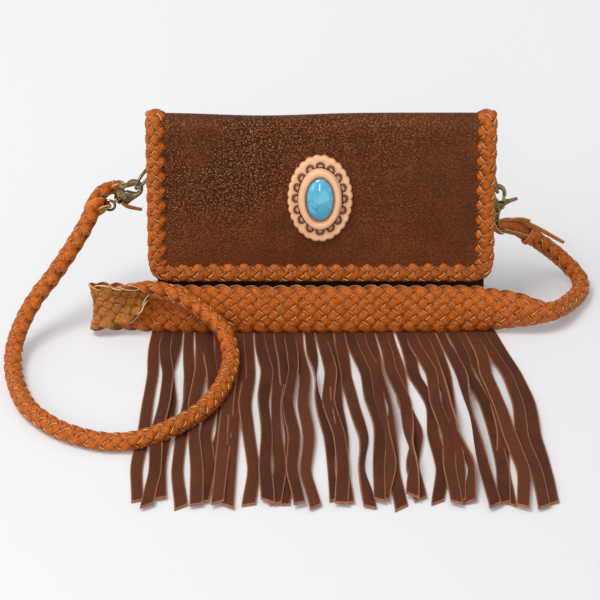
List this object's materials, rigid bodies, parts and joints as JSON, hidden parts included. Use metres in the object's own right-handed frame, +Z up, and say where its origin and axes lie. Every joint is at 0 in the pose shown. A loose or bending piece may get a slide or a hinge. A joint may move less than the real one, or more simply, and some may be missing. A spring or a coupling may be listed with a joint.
{
  "type": "fringed suede bag",
  "caption": "Flap shoulder bag of brown leather with laced edges, an oval concho with a turquoise stone, a long suede fringe and a clip-on braided strap.",
  "frame": {"origin": "centre of the bag's flat bottom, on the surface it stands on", "axes": "+X towards the bag's right side as seen from the front, -Y towards the front and the fringe, +Z up"},
  "size_m": [0.4589, 0.34, 0.1693],
  "materials": {
    "brown_leather": "pebbled, satin",
    "tan_lace": "braided, satin",
    "suede": "napped, matte",
    "tooled_leather": "tooled, satin",
    "turquoise": "polished stone",
    "antique_brass": "darkened, satin"
  },
  "bodies": {
    "bag": {"back_panel": "brown_leather", "front_panel": "brown_leather", "gusset": "brown_leather", "fringe": "suede", "back_lace_left": "tan_lace", "back_lace_right": "tan_lace", "ring_tab_left": "brown_leather", "ring_tab_right": "brown_leather", "tab_rivet_left": "antique_brass", "tab_rivet_right": "antique_brass", "snap_socket": "antique_brass", "braided_strap": "tan_lace", "clasp_eye_left": "antique_brass", "clasp_eye_right": "antique_brass"},
    "flap": {"flap": "brown_leather", "flap_lace": "tan_lace", "concho_base": "tooled_leather", "concho_ring": "tooled_leather", "turquoise_stone": "turquoise", "concho_screw": "antique_brass", "snap_stud": "antique_brass"},
    "ring_left": {"d_ring_left": "antique_brass"},
    "clasp_left": {"clasp_body_left": "antique_brass", "clasp_pin_left": "antique_brass", "clasp_spring_left": "antique_brass"},
    "lever_left": {"clasp_lever_left": "antique_brass"},
    "ring_right": {"d_ring_right": "antique_brass"},
    "clasp_right": {"clasp_body_right": "antique_brass", "clasp_pin_right": "antique_brass", "clasp_spring_right": "antique_brass"},
    "lever_right": {"clasp_lever_right": "antique_brass"}
  },
  "joints": [
    {"name": "flap_hinge", "type": "hinge", "parent": "bag", "child": "flap", "pos_m": [0, 0.011, 0.1564], "axis": [1, 0, 0], "range_deg": [-135, 0]},
    {"name": "ring_swing_left", "type": "hinge", "parent": "bag", "child": "ring_left", "pos_m": [-0.1324, 0.001, 0.119], "axis": [0, 1, 0], "range_deg": [-2.5, 2.5]},
    {"name": "clasp_swivel_left", "type": "hinge", "parent": "bag", "child": "clasp_left", "pos_m": [-0.1602, 0.001, 0.09157], "axis": [0.788, 0, 0.6157], "range_deg": [-20, 20]},
    {"name": "lever_press_left", "type": "hinge", "parent": "clasp_left", "child": "lever_left", "pos_m": [-0.15767, 0.001, 0.09939], "axis": [0, 1, 0], "range_deg": [0, 25], "stiffness_Nm_per_rad": 0.004},
    {"name": "ring_swing_right", "type": "hinge", "parent": "bag", "child": "ring_right", "pos_m": [0.1324, 0.001, 0.119], "axis": [0, 1, 0], "range_deg": [-2.5, 2.5]},
    {"name": "clasp_swivel_right", "type": "hinge", "parent": "bag", "child": "clasp_right", "pos_m": [0.1369, 0.001, 0.08075], "axis": [0.0872, 0, 0.9962], "range_deg": [-20, 20]},
    {"name": "lever_press_right", "type": "hinge", "parent": "clasp_right", "child": "lever_right", "pos_m": [0.14207, 0.001, 0.08713], "axis": [0, -1, 0], "range_deg": [0, 25], "stiffness_Nm_per_rad": 0.004}
  ]
}
